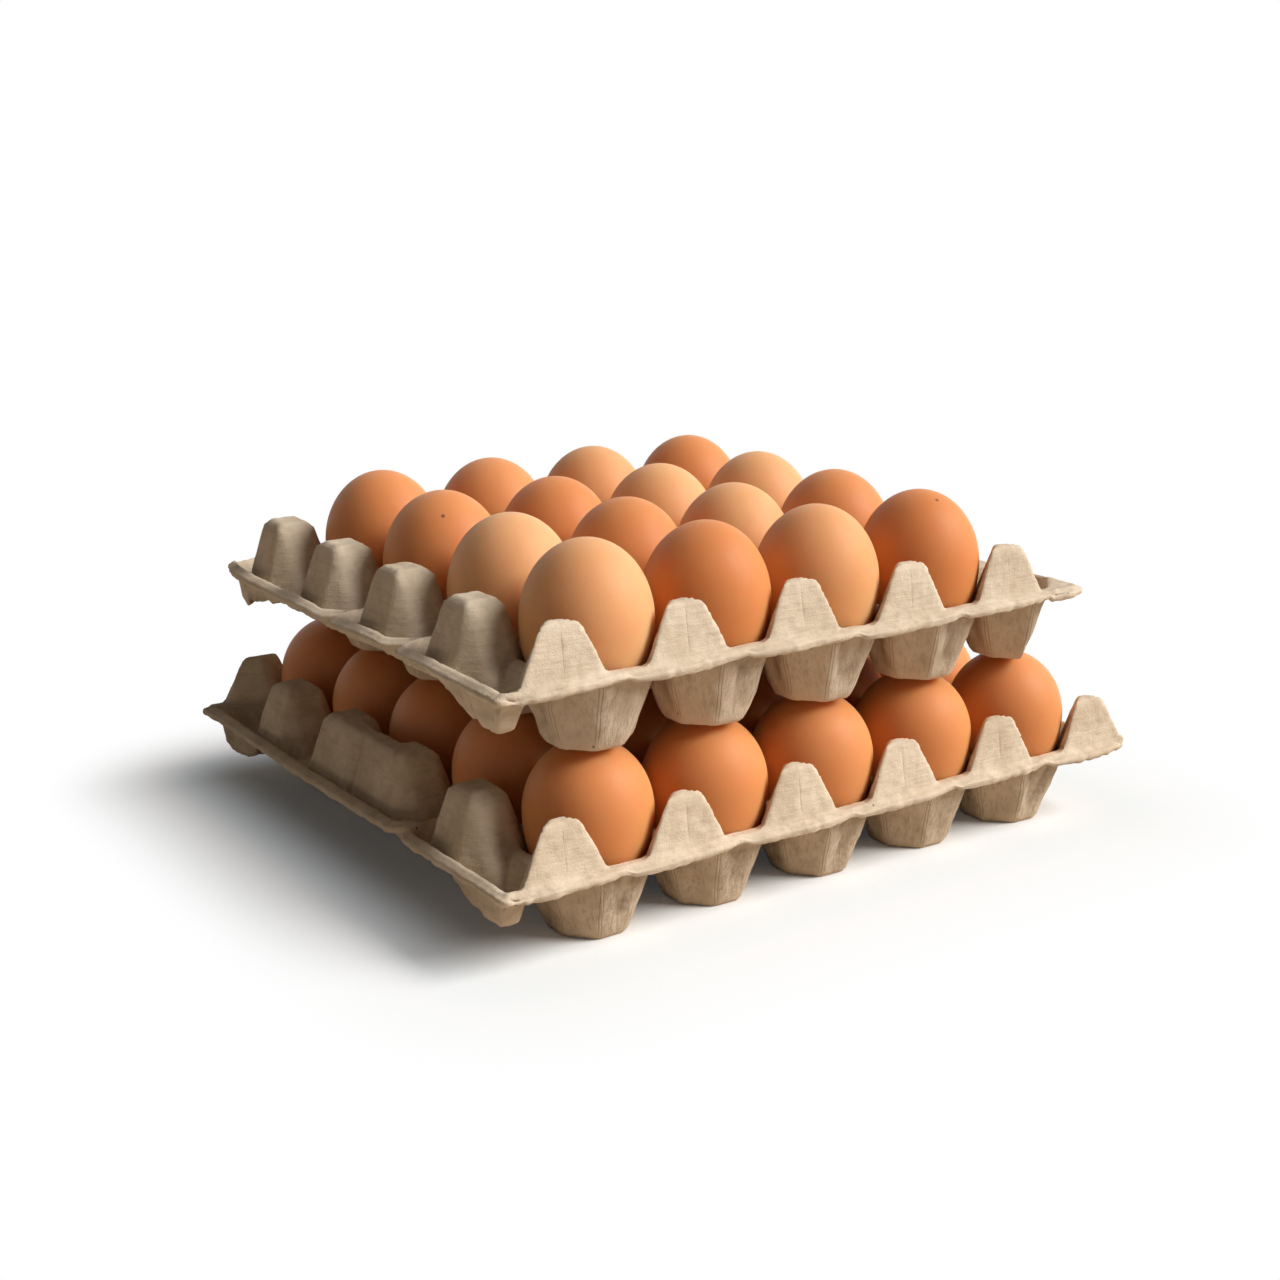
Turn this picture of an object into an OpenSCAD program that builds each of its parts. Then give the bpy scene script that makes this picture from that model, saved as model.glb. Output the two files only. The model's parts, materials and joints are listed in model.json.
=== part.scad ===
// Stack of two moulded pulp egg trays with the eggs that they hold.
// Origin: middle of the lower tray's footprint, on the surface that it stands on.
// +Z is up, -Y is the plain front edge and -X one of the two flanged sides.

/* [Cells] */
// Distance between neighbouring cup centres
pitch = 48; // [47:0.5:52]
// Thickness of the pulp
wall = 2.2; // [1.6:0.1:2.8]
// Height of a tray's rim above its foot
rim_z = 29.5; // [26:0.5:32]
// Height of a tray's post tops above its foot
post_z = 48.5; // [44:0.5:52]
// Half width of a cup's floor, inside
cup_half = 12.7; // [11:0.1:14]
// How far the corners of a cup's floor are cut back, inside
cup_cut = 5.5; // [4:0.1:7]
// Half width of a post's top
post_half = 6.8; // [5.5:0.1:8]
// How far the corners of a post's top are cut back
post_cut = 3.2; // [2:0.1:4.5]
// Rise per run of the cup sides and of the flange posts' outer faces
wall_slope = 3.1; // [2.7:0.05:3.6]
// Rise per run of the posts' other sides
post_slope = 2.1; // [1.8:0.05:2.6]

/* [Edges] */
// Reach of the left flange beyond the post line
flange_w = 24.5; // [21:0.5:28]
// Reach of the lower tray's right flange beyond the post line
far_flange_w = 15; // [14:0.5:20]
// Width of the raised lip along a flange
flange_lip = 3; // [2:0.5:4]
// Depth of the trough behind the lip
trough = 6; // [3:0.5:8]
// Depth of the trough in the corner cells
corner_trough = 14.5; // [8:0.5:17]
// Outward shift of the posts along the left flange
post_shift = 4.7; // [3:0.1:6]
// Half width of those posts' tops along the flange
side_half = 7.5; // [6:0.1:9]
// Reach of the front and back lips beyond the post line
lip_w = 3.5; // [2.5:0.1:6]
// Drop of the lips towards their edge
lip_drop = 1.5; // [0:0.1:3]
// Distance of a front post's top edge inside the post line
face_inset = 2.5; // [1:0.1:4]
// Reach of a front post's foot beyond the post line
face_foot = 0.8; // [0.4:0.1:2]
// Depth of the notches along the lips, one at each cell
scallop = 1.3; // [0:0.1:2]
// Depth of the notches between the left flange's posts
flange_notch = 11; // [0:0.5:13]
// Width of those notches
notch_w = 10; // [8:0.5:14]
// How far the tray's corners are rounded, 0 for square
corner_round = 0.7; // [0:0.05:1]

/* [Layout] */
// Cells of the lower tray in X
lower_nx = 5; // [4:1:5]
// Cells of the lower tray in Y
lower_ny = 5; // [4:1:5]
// Cells of the upper tray in X that hold eggs
upper_nx = 4; // [2:1:4]
// Cells of the upper tray in Y that hold eggs
upper_ny = 4; // [2:1:4]
// Width of the upper tray's empty end column
end_x = 36; // [30:0.5:46]
// Width of the upper tray's empty end row
end_y = 30; // [28:0.5:46]
// First of the two lower side posts that are moulded as one
joined_post = 2; // [1:1:3]

/* [Eggs] */
// Largest diameter of an egg
egg_d = 44.6; // [42:0.1:45.5]
// Height of a lower egg above its widest point
egg_crown = 24.5; // [22:0.5:27]
// Height of an upper egg above its widest point
upper_crown = 27; // [22:0.5:30]
// Height of an egg below its widest point
egg_foot = 34; // [31:0.5:36]
// Clearance between an egg and the cup walls that carry it
seat_gap = 0.2; // [0.1:0.05:0.4]
// Clearance between the lower eggs and the upper tray
stack_gap = 0.2; // [0.1:0.05:0.4]

/* [Hidden] */
half_cell = pitch / 2;
egg_r = egg_d / 2;
// Distances of the cut corners from the middle of a cup and of a post
cup_corner = cup_half * sqrt(2) - cup_cut;
post_corner = post_half * sqrt(2) - post_cut;

// Slope of the plane that runs from a cup's cut corner up to the post beside it
cut_slope = (post_z - wall) / (pitch / sqrt(2) - cup_corner - post_corner);
// Slope of a front post's flat outer face
face_slope = (post_z - rim_z) / (face_inset + face_foot);

// Height of an egg's widest point where it just touches a wall plane of the cup
function touch_z(slope, half) = wall - slope * half + sqrt(pow(egg_foot, 2) + pow(slope * egg_r, 2));

seat_lift = seat_gap * sqrt(1 + pow(max(cut_slope, wall_slope), 2));
seat_z = seat_lift + max(
    touch_z(cut_slope, cup_corner),
    touch_z(wall_slope, cup_half),
    wall + egg_foot
);
// Height of the upper tray's foot, just above the lower eggs
stack_z = seat_z + egg_crown + stack_gap;

// Place of the first post of both trays, seen from the origin
corner = [(flange_w - far_flange_w - lower_nx * pitch) / 2, -lower_ny * half_cell, 0];

// Cells beside which the left flange is notched
lower_notches = [joined_post - 1];
upper_notches = [for (j = [0:upper_ny - 1]) if (j > 0 && j < upper_ny - 1) j];

// A tray: cells in X and Y, empty end cells in X and Y, first of its joined posts, notched cells
lower_spec = [lower_nx, lower_ny, 0, 0, joined_post, lower_notches];
upper_spec = [upper_nx, upper_ny, end_x, end_y, undef, upper_notches];

function shrink(slope) = (sqrt(1 + slope * slope) - 1) / slope;
function clamp(v, low, high) = min(max(v, low), high);

// Distance of v from the middle of its cell, stretched so that a border always lies at half_cell
function across(v, n, last) =
    v > n * pitch
        ? abs(v - n * pitch - last / 2) + half_cell - last / 2
        : abs(v - (clamp(floor(v / pitch), 0, n - 1) + 0.5) * pitch);

// Signed distance of v outside the first or last post line, 0 between them
function outside(v, n) = min(v, 0) + max(v - n * pitch, 0);

// Reach of the tray beyond its post lines on the side where u or v lies
function reach_x(u, spec) = u <= 0 ? flange_w : spec[2] > 0 ? spec[2] : far_flange_w;
function reach_y(v, spec) = v > 0 && spec[3] > 0 ? spec[3] : lip_w;

// True for the posts along the left flange, which stand further out than the corner posts
function is_side_post(i, j, spec) = i == 0 && j > 0 && (j < spec[1] || spec[3] > 0);

// How far y lies in a notch of the left flange, from 0 outside it to 1 at its middle
function notch_part(y, spec) =
    max(concat(0, [for (j = spec[5]) clamp(1 - abs(y - (j + 0.5) * pitch) * 2 / notch_w, 0, 1)]));

// Depth of the trough at distance u outside the post line, less on a narrow flange, none in a notch
function trough_depth(u, y, spec) =
    let (foot = (u < 0 ? post_shift : 0) + post_half)
    let (inner = reach_x(u, spec) - flange_lip - abs(u))
    let (from_end = min(y, spec[1] * pitch + spec[3] - y))
    u > 0 && spec[2] > 0
        ? 0
        : (trough + (corner_trough - trough) * clamp((pitch - from_end) / half_cell, 0, 1))
            * reach_x(u, spec) / flange_w
            * clamp(min(abs(u) / foot, inner / flange_lip, from_end / post_half), 0, 1)
            * (u < 0 ? 1 - notch_part(y, spec) : 1);

// Drop of a lip at distances u and v outside the post lines
function edge_drop(u, v, spec) =
    lip_drop * max(
        clamp((abs(u) - reach_x(u, spec)) / flange_lip + 1, 0, 1),
        clamp((abs(v) - reach_y(v, spec)) / (lip_w - face_foot) + 1, 0, 1)
    );

// Height of a cup's surface: floor, four sides and four cut corners, limited by the rim
function cup_height(a, b, rim, drop) =
    wall - drop
    + clamp(
        max(
            wall_slope * (max(a, b) - cup_half - shrink(wall_slope) * drop),
            cut_slope * ((a + b) / sqrt(2) - cup_corner - shrink(cut_slope) * drop)
        ),
        0,
        rim - wall
    );

// Height of a post with top half widths hx and hy at offsets a and b from its middle
function post_height(a, b, hx, hy, cut, slope_x, drop) =
    post_z - drop
    - max(
        0,
        slope_x * (a - hx + shrink(slope_x) * drop),
        post_slope * (b - hy + shrink(post_slope) * drop),
        cut_slope * ((a + b) / sqrt(2) - cut + shrink(cut_slope) * drop)
    );

// Height of the flat outer face of the posts along the front and back edges
function face_height(y, spec, drop) =
    post_z - drop
    - face_slope * max(
        0,
        face_inset + shrink(face_slope) * drop - y,
        spec[3] > 0 ? 0 : y - spec[1] * pitch + face_inset + shrink(face_slope) * drop
    );

// Height of the ridge that joins two posts of the first flange
function joined_height(x, y, spec, drop) =
    spec[4] == undef
        ? 0
        : post_height(
            abs(x + post_shift + post_half / 2),
            abs(y - (spec[4] + 0.5) * pitch),
            post_half / 2,
            half_cell,
            pitch,
            wall_slope,
            drop
        );

// Height of a tray's upper face (drop 0) or of its under face (drop = wall)
function tray_height(x, y, spec, drop) =
    let (i = clamp(round(x / pitch), 0, spec[0]))
    let (j = clamp(round(y / pitch), 0, spec[1]))
    let (u = outside(x, spec[0]))
    let (v = outside(y, spec[1]))
    let (rim = rim_z - trough_depth(u, y, spec) - edge_drop(u, v, spec))
    let (cup = cup_height(across(x, spec[0], spec[2]), across(y, spec[1], spec[3]), rim, drop))
    let (side = is_side_post(i, j, spec))
    let (shift = side ? post_shift : 0)
    let (post = post_height(
        abs(x - i * pitch + shift),
        abs(y - j * pitch),
        post_half,
        side ? side_half : post_half,
        post_corner + shift / sqrt(2),
        side ? wall_slope : post_slope,
        drop
    ))
    max(cup, min(max(post, joined_height(x, y, spec, drop)), face_height(y, spec, drop)));

// Inward notch of a lip at x along the edge, deepest at the middle of a cell
function lip_notch(x) = scallop * pow(2 * abs(x / pitch - round(x / pitch)), 2);

// Plan position of a grid point: lips and flange are notched and corners rounded
function plan_point(x, y, spec) =
    let (u = outside(x, spec[0]))
    let (v = outside(y, spec[1]))
    let (round_u = u * sqrt(1 - corner_round * pow(v / reach_y(v, spec), 2) / 2))
    let (round_v = v * sqrt(1 - corner_round * pow(u / reach_x(u, spec), 2) / 2))
    let (cut_u = u < 0 ? u * notch_part(y, spec) * flange_notch / flange_w : 0)
    let (cut_v = v > 0 && spec[3] > 0 ? 0 : sign(v) * lip_notch(x) * pow(v / reach_y(v, spec), 4))
    [x - u + round_u - cut_u, y - v + round_v - cut_v];

// Distances from a cell's border at which its surface has a crease
web = half_cell - cup_half - (rim_z - wall) / wall_slope;
creases = [
    min(web, post_half),
    max(web, post_half),
    half_cell - cup_half,
    half_cell + cup_half - cup_corner * sqrt(2)
];

// Least distance between neighbouring grid lines
line_gap = 0.5;

// Grid lines of one cell from low to high, without its last border
function cell_lines(low, high) =
    let (inner = [for (c = creases) if (low + c + line_gap < high - c) c])
    concat(
        [low],
        [for (c = inner) low + c],
        [for (k = [len(inner) - 1:-1:0]) high - inner[k]]
    );

// Grid lines across a tray: near edge, cells, then the empty end cell or the far edge
function tray_lines(n, last, near, far) =
    concat(
        [for (k = [len(near) - 1:-1:0]) -near[k]],
        [for (k = [0:n - 1]) each cell_lines(k * pitch, (k + 1) * pitch)],
        last > 0 ? cell_lines(n * pitch, n * pitch + last) : [],
        [n * pitch + last],
        last > 0 ? [] : [for (e = far) n * pitch + e]
    );

// Lines along a flange of width w: the posts' top edge, the trough and the lip
function flange_lines(w, tops) =
    concat(
        [for (t = tops) if (t + line_gap < w - 2 * flange_lip) t],
        [w - 2 * flange_lip, w - flange_lip, w]
    );
left_lines = flange_lines(flange_w, [post_shift, post_shift + post_half]);
right_lines = flange_lines(far_flange_w, [post_half]);

// Lines along the front and back: the foot of the posts and the edge of the lip
lip_lines = [face_foot, lip_w];

// Puts a line among a tray's lines in place of those that lie too close to it
function with_line(lines, at) =
    concat(
        [for (v = lines) if (v < at - line_gap) v],
        [at],
        [for (v = lines) if (v > at + line_gap) v]
    );

// Adds the top edge of the front and back posts' faces to a tray's lines
function with_faces(lines, n, last) =
    let (front = with_line(lines, face_inset))
    last > 0 ? front : with_line(front, n * pitch - face_inset);

// Adds the edges and the middle of the flange's notches to a tray's lines, from the notch k onwards
function with_notches(lines, cells, k = 0) =
    k == len(cells)
        ? lines
        : let (mid = (cells[k] + 0.5) * pitch)
            with_notches(
                with_line(with_line(with_line(lines, mid - notch_w / 2), mid), mid + notch_w / 2),
                cells,
                k + 1
            );

// Two triangles of a grid square, split across the direction to the nearest cup
function square_faces(k, row, rising, up) =
    let (p = [k, k + 1, k + row + 1, k + row])
    let (tri = rising ? [[p[0], p[1], p[2]], [p[0], p[2], p[3]]] : [[p[0], p[1], p[3]], [p[1], p[2], p[3]]])
    [for (t = tri) up ? [t[2], t[1], t[0]] : t];

// True where the cup lies to the right of one edge but to the left of the other
function is_rising(x, y, spec) =
    let (cx = x > spec[0] * pitch ? spec[0] * pitch + spec[2] / 2 : (floor(x / pitch) + 0.5) * pitch)
    let (cy = y > spec[1] * pitch ? spec[1] * pitch + spec[3] / 2 : (floor(y / pitch) + 0.5) * pitch)
    (x - cx) * (y - cy) < 0;

// Closed shell between the upper and under face of a tray
module tray_shell(spec) {
    xs = tray_lines(spec[0], spec[2], left_lines, right_lines);
    rows = with_faces(tray_lines(spec[1], spec[3], lip_lines, lip_lines), spec[1], spec[3]);
    ys = with_notches(rows, spec[5]);
    row = len(xs);
    col = len(ys);
    sheet = row * col;
    points = [
        for (drop = [0, wall])
            for (y = ys)
                for (x = xs)
                    concat(plan_point(x, y, spec), tray_height(x, y, spec, drop))
    ];
    skins = [
        for (side = [0, 1])
            for (j = [0:col - 2])
                for (i = [0:row - 2])
                    let (mid = [(xs[i] + xs[i + 1]) / 2, (ys[j] + ys[j + 1]) / 2])
                    let (first = side * sheet + j * row + i)
                    each square_faces(first, row, is_rising(mid[0], mid[1], spec), side == 0)
    ];
    border = concat(
        [for (i = [0:row - 1]) i],
        [for (j = [1:col - 1]) j * row + row - 1],
        [for (i = [row - 2:-1:0]) (col - 1) * row + i],
        [for (j = [col - 2:-1:1]) j * row]
    );
    edges = [
        for (k = [0:len(border) - 1])
            let (a = border[k])
            let (b = border[(k + 1) % len(border)])
            each [[a, b, b + sheet], [a, b + sheet, a + sheet]]
    ];
    polyhedron(points, concat(skins, edges), convexity = 12);
}

module lower_tray() {
    color([0.74, 0.68, 0.60])
        translate(corner)
            tray_shell(lower_spec);
}

module upper_tray() {
    color([0.78, 0.72, 0.64])
        translate(corner + [0, 0, stack_z])
            tray_shell(upper_spec);
}

// One egg with its widest point at height 0
module egg(crown) {
    rotate_extrude($fn = 96)
        polygon([
            for (a = [-90:6:90])
                [egg_r * cos(a), (a < 0 ? egg_foot : crown) * sin(a)]
        ]);
}

// An egg in the cell of column i and row j of a tray that stands at foot_z
module egg_in_cell(i, j, foot_z, crown) {
    tint = ((i * 2 + j * 3) % 5) / 25;
    color([0.84 - tint / 2, 0.55 - tint, 0.36 - tint])
        translate(corner + [(i + 0.5) * pitch, (j + 0.5) * pitch, foot_z + seat_z])
            egg(crown);
}

lower_cells = [for (j = [0:lower_ny - 1]) for (i = [0:lower_nx - 1]) [i, j]];
upper_cells = [for (j = [0:upper_ny - 1]) for (i = [0:upper_nx - 1]) [i, j]];
function egg_name(tray, cell) = str(tray, "_egg_", cell[0] + 1, "_", cell[1] + 1);

lower_tray();
upper_tray();
for (c = lower_cells)
    egg_in_cell(c[0], c[1], 0, egg_crown);
for (c = upper_cells)
    egg_in_cell(c[0], c[1], stack_z, upper_crown);
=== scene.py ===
# Two moulded pulp egg trays with brown eggs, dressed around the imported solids
import json
import math

import bpy
import numpy as np
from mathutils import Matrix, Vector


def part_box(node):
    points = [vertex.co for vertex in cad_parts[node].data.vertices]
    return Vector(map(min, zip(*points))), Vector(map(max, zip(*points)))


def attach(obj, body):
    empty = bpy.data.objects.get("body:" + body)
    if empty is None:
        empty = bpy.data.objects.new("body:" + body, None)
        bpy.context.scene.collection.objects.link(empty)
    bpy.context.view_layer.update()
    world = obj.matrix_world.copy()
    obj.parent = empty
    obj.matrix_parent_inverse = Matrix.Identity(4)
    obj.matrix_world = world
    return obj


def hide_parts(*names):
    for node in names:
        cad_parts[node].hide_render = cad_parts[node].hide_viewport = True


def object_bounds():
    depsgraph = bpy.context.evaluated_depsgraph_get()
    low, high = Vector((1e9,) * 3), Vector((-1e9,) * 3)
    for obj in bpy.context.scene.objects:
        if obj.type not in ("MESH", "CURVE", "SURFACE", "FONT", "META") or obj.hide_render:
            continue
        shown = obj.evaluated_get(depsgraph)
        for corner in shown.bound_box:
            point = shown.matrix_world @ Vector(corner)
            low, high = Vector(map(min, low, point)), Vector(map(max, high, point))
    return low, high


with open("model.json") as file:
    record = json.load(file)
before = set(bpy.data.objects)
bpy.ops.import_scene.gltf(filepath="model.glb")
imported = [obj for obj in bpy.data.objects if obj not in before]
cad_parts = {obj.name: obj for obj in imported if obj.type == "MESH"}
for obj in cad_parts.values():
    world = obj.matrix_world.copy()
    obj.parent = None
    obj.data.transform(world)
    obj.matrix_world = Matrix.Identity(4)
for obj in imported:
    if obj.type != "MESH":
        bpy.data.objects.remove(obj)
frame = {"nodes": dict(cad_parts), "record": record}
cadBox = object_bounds()
mm = 0.001
print("frame loaded:", len(frame["nodes"]), "nodes")


# Sizes of a moulded tray, in millimetres from its first post
tray = dict(
    pitch=48.0,
    wall=2.2,
    rim=29.5,
    post=48.5,
    cupHalf=12.7,
    cupCut=5.5,
    postHalf=6.8,
    postCut=3.2,
    wallSlope=3.1,
    postSlope=2.1,
    flange=24.5,
    farFlange=15.0,
    flangeLip=3.0,
    trough=6.0,
    cornerTrough=14.5,
    cornerEase=11.0,  # distance over which the corner pocket rounds up to the edge
    postShift=4.7,
    sideHalf=7.5,
    lip=3.5,
    lipDrop=1.5,
    lipStep=0.55,  # share of the drop by which the lip's edge climbs along a cell
    stepWidth=1.5,
    faceInset=2.5,
    faceFoot=0.8,
    scallop=1.3,
    flangeNotch=11.0,
    notchWidth=10.0,
    cornerRound=0.7,
    softWall=2.4,  # how round the creases are, as a difference of heights
    softFloor=4.5,
    softRim=1.6,
    softPost=0.8,
    softSidePost=3.5,
    softFoot=2.0,
    softInnerFoot=0.6,
    footReach=3.0,  # width of the band along the edges where the feet of posts are rounder
    softFace=0.9,
    softJoin=1.0,
    softBevel=0.5,
    softTop=0.3,
    softOutline=1.0,  # how round a post's corners are in plan
    bevel=0.5,  # width of the bevel round a post's top
    sideBevel=2.2,
    faceBevel=1.2,
    bevelSlope=0.9,
    dish=0.5,
    seamDepth=0.10,  # line down the middle of a front post
    seamWidth=0.3,
    ridgeDepth=1.2,  # valley down the middle of a joined post
    ridgeWidth=2.5,
    rimSwell=0.55,  # how much thicker the pulp is at its edge, each side
    rimBand=4.0,
    edgeBulge=0.85,  # 1 for an edge rolled in a half circle
    splitDepth=0.45,  # line along the edge where the pulp is layered
    splitSize=30,  # length over which that line comes and goes
    edgeRough=0.16,
    edgeSizes=(11, 4),  # sizes of the ripples, here and below
    warp=0.22,
    warpSize=55,
    warpRise=20,  # height over which the warp grows from a level foot
    grain=0.06,
    grainSizes=(6, 3),
    streak=0.17,
    streakSize=5,
    streakStretch=(1, 1, 7),
    crumple=0.35,  # folds near the foot of a cup
    crumpleSize=7,
    crumpleStretch=(1, 1, 2),
    crumpleTop=14,
    crumpleFade=10,
    footCalm=3,  # height over which the underside turns smooth towards the floor
    foldGap=0.6,  # distance of a drawn line from its fold
    postCrease=0.3,  # how strongly the line down a front post shows
    patchSize=16,
    patchStretch=(1, 1, 2),
    flangeLines=20,  # grid lines across the flange, the far flange, the lips and the front faces
    farLines=12,
    lipLines=7,
    faceLines=7,
    endStep=1.4,  # distance between the grid lines of a narrow end cell
)
root2 = math.sqrt(2)
cupCorner = tray["cupHalf"] * root2 - tray["cupCut"]
postCorner = tray["postHalf"] * root2 - tray["postCut"]
cutSlope = (tray["post"] - tray["wall"]) / (tray["pitch"] / root2 - cupCorner - postCorner)
faceSlope = (tray["post"] - tray["rim"]) / (tray["faceInset"] + tray["faceFoot"])


def firstPost(node):  # place of a tray's first post on its foot plane, in millimetres
    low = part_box(node)[0] / mm
    return np.array([low.x + tray["flange"], low.y + tray["lip"], low.z])


# Camera, at the photograph's angle
view = dict(
    fromPost=(-306.18, -491.10, 268.67),  # from the lower tray's first post to the camera
    azimuth=-34.287,
    elevation=15.446,
    lens=54.6,
    sensor=36.0,
    imageSize=1280,
)
cameraPlace = firstPost("lower_tray") + np.array(view["fromPost"])
cameraData = bpy.data.cameras.new("camera")
cameraData.lens = view["lens"]
camera = bpy.data.objects.new("camera", cameraData)
camera.location = cameraPlace * mm
camera.rotation_euler = (math.radians(90 - view["elevation"]), 0, math.radians(view["azimuth"]))
bpy.context.scene.collection.objects.link(camera)
bpy.context.scene.camera = camera
bpy.context.scene.view_settings.view_transform = "Standard"


# Small helpers for node trees
def addNode(tree, kind, inputs=None, **settings):
    node = tree.nodes.new(kind)
    for name, value in settings.items():
        setattr(node, name, value)
    for name, value in (inputs or {}).items():
        if isinstance(value, bpy.types.NodeSocket):
            tree.links.new(value, node.inputs[name])
        else:
            node.inputs[name].default_value = value
    return node


def freshTree(holder):
    holder.use_nodes = True
    holder.node_tree.nodes.clear()
    return holder.node_tree


def mathOf(tree, operation, a, b=0.0):
    return addNode(tree, "ShaderNodeMath", {0: a, 1: b}, operation=operation).outputs[0]


def blendColour(tree, factor, a, b):
    node = addNode(tree, "ShaderNodeMix", {"Factor": factor}, data_type="RGBA")
    for socket, value in ((node.inputs[6], a), (node.inputs[7], b)):
        if isinstance(value, bpy.types.NodeSocket):
            tree.links.new(value, socket)
        else:
            socket.default_value = value
    return node.outputs[2]


def softStep(tree, value, low, high):  # 0 below low, 1 above high, smooth between
    inputs = {"Value": value, "From Min": low, "From Max": high}
    return addNode(tree, "ShaderNodeMapRange", inputs, interpolation_type="SMOOTHSTEP").outputs[0]


def noiseOf(tree, where, scale, stretch=(1, 1, 1), detail=3.0, rough=0.55):
    spread = addNode(tree, "ShaderNodeMapping", {"Vector": where, "Scale": stretch})
    inputs = {"Vector": spread.outputs[0], "Scale": scale, "Detail": detail, "Roughness": rough}
    return addNode(tree, "ShaderNodeTexNoise", inputs).outputs["Fac"]


def attributeOf(tree, key):
    return addNode(tree, "ShaderNodeAttribute", attribute_name=key).outputs["Fac"]


def seenByEye(tree):  # 1 for rays that show the background: camera, gloss and glass
    path = addNode(tree, "ShaderNodeLightPath")
    shown = mathOf(tree, "MAXIMUM", path.outputs["Is Camera Ray"], path.outputs["Is Glossy Ray"])
    return mathOf(tree, "MAXIMUM", shown, path.outputs["Is Transmission Ray"])


# White studio: floor, sky and one broad lamp from the right
studio = dict(
    floorHalf=4.0,
    floorColour=(0.93, 0.97, 1.0, 1),
    bounceColour=(0.62, 0.51, 0.40, 1),  # what the floor gives back to the object
    glowNear=0.028,  # painted light: white glow that only the camera sees in the floor under the object
    glowTint=(0.84, 0.93, 1.0, 1),  # bluish colour of that painted glow where it is faint, which cancels the warm sky in the floor's shadow
    glowInset=0.016,  # where it starts to grow, inside the object's box
    glowReach=0.088,  # distance from there at which the painted glow has made the floor all white, fading out the object's shadow
    tintFade=0.5,  # share of that growth over which the tint turns white
    skyColour=(1.0, 0.87, 0.73, 1),
    skyLight=0.10,
    keyFrom=(0.60, -0.50, 0.62),  # direction from the stack to the lamp
    keySpread=34.0,
    keyStrength=4.4,
    keyColour=(1.0, 0.965, 0.92),
)


def makeFloor(s):
    h = s["floorHalf"]
    mesh = bpy.data.meshes.new("floor")
    mesh.from_pydata([(-h, -h, 0), (h, -h, 0), (h, h, 0), (-h, h, 0)], [], [(0, 1, 2, 3)])
    floor = bpy.data.objects.new("floor", mesh)
    bpy.context.scene.collection.objects.link(floor)
    paint = bpy.data.materials.new("studioFloor")
    tree = freshTree(paint)
    eye = seenByEye(tree)
    place = addNode(tree, "ShaderNodeTexCoord").outputs["Object"]
    axes = addNode(tree, "ShaderNodeSeparateXYZ", {0: place}).outputs
    gaps = []
    for axis in (0, 1):  # distance outside the object's box along each side
        edge = cadBox[1][axis] - s["glowInset"]
        gap = mathOf(tree, "SUBTRACT", mathOf(tree, "ABSOLUTE", axes[axis]), edge)
        gaps.append(mathOf(tree, "POWER", mathOf(tree, "MAXIMUM", gap, 0.0), 2.0))
    away = mathOf(tree, "SQRT", mathOf(tree, "ADD", *gaps))
    # painted light: a glow that only the camera sees grows with distance from the object's box and fades its
    # shadow out
    far = softStep(tree, away, 0.0, s["glowReach"])
    white = mathOf(tree, "MULTIPLY", far, 1 - s["glowNear"])
    white = mathOf(tree, "MULTIPLY", mathOf(tree, "ADD", white, s["glowNear"]), eye)
    colour = blendColour(tree, eye, s["bounceColour"], s["floorColour"])
    matt = addNode(tree, "ShaderNodeBsdfDiffuse", {"Color": colour})
    tint = blendColour(tree, softStep(tree, far, 0.0, s["tintFade"]), s["glowTint"], (1, 1, 1, 1))
    glow = addNode(tree, "ShaderNodeEmission", {"Color": tint, "Strength": 1.0})
    both = addNode(tree, "ShaderNodeMixShader", {0: white, 1: matt.outputs[0], 2: glow.outputs[0]})
    addNode(tree, "ShaderNodeOutputMaterial", {"Surface": both.outputs[0]})
    mesh.materials.append(paint)


def makeSky(s):
    world = bpy.data.worlds.new("studioSky")
    bpy.context.scene.world = world
    tree = freshTree(world)
    eye = seenByEye(tree)
    strength = mathOf(tree, "MULTIPLY", eye, 1 - s["skyLight"])
    strength = mathOf(tree, "ADD", strength, s["skyLight"])
    colour = blendColour(tree, eye, s["skyColour"], (1, 1, 1, 1))
    sky = addNode(tree, "ShaderNodeBackground", {"Color": colour, "Strength": strength})
    addNode(tree, "ShaderNodeOutputWorld", {"Surface": sky.outputs[0]})


def makeKeyLamp(s):
    data = bpy.data.lights.new("keyLamp", "SUN")
    data.angle = math.radians(s["keySpread"])
    data.energy = s["keyStrength"]
    data.color = s["keyColour"]
    lamp = bpy.data.objects.new("keyLamp", data)
    bpy.context.scene.collection.objects.link(lamp)
    aim = Vector(s["keyFrom"]).normalized()
    lamp.location = aim
    lamp.rotation_euler = aim.to_track_quat("Z", "Y").to_euler()


makeFloor(studio)
makeSky(studio)
makeKeyLamp(studio)
print("studio ready")


# Surfaces on a grid
def softMax(a, b, k):  # larger of a and b, rounded where they differ by less than k
    h = np.clip(0.5 + 0.5 * (a - b) / k, 0, 1)
    return b + (a - b) * h + k * h * (1 - h)


def softMin(a, b, k):  # smaller of the two, rounded likewise
    return -softMax(-a, -b, k)


def easeIn(value):  # 0 to 1 with level ends
    c = np.clip(value, 0, 1)
    return c * c * (3 - 2 * c)


def bell(value, width):  # 1 at 0, falling off on both sides
    return np.exp(-((value / width) ** 2))


def ripple(points, size, seed, stretch=(1, 1, 1)):
    # sum of plane waves of about that size in seeded directions, with a mean square of 1
    rng = np.random.default_rng(seed)
    count = 28
    waves = rng.normal(size=(count, 3))
    waves *= (2 * np.pi / size * rng.uniform(0.6, 1.5, count) / np.linalg.norm(waves, axis=1))[:, None]
    waves /= np.array(stretch)
    phase = rng.uniform(0, 2 * np.pi, count)
    return np.sin(points @ waves.T + phase).sum(-1) * math.sqrt(2 / count)


def gridNormals(points):  # unit normals of a grid of points, upwards for a level grid
    across = np.gradient(points, axis=1)
    along = np.gradient(points, axis=0)
    normal = np.cross(across, along)
    return normal / np.maximum(np.linalg.norm(normal, axis=-1, keepdims=True), 1e-9)


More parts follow.
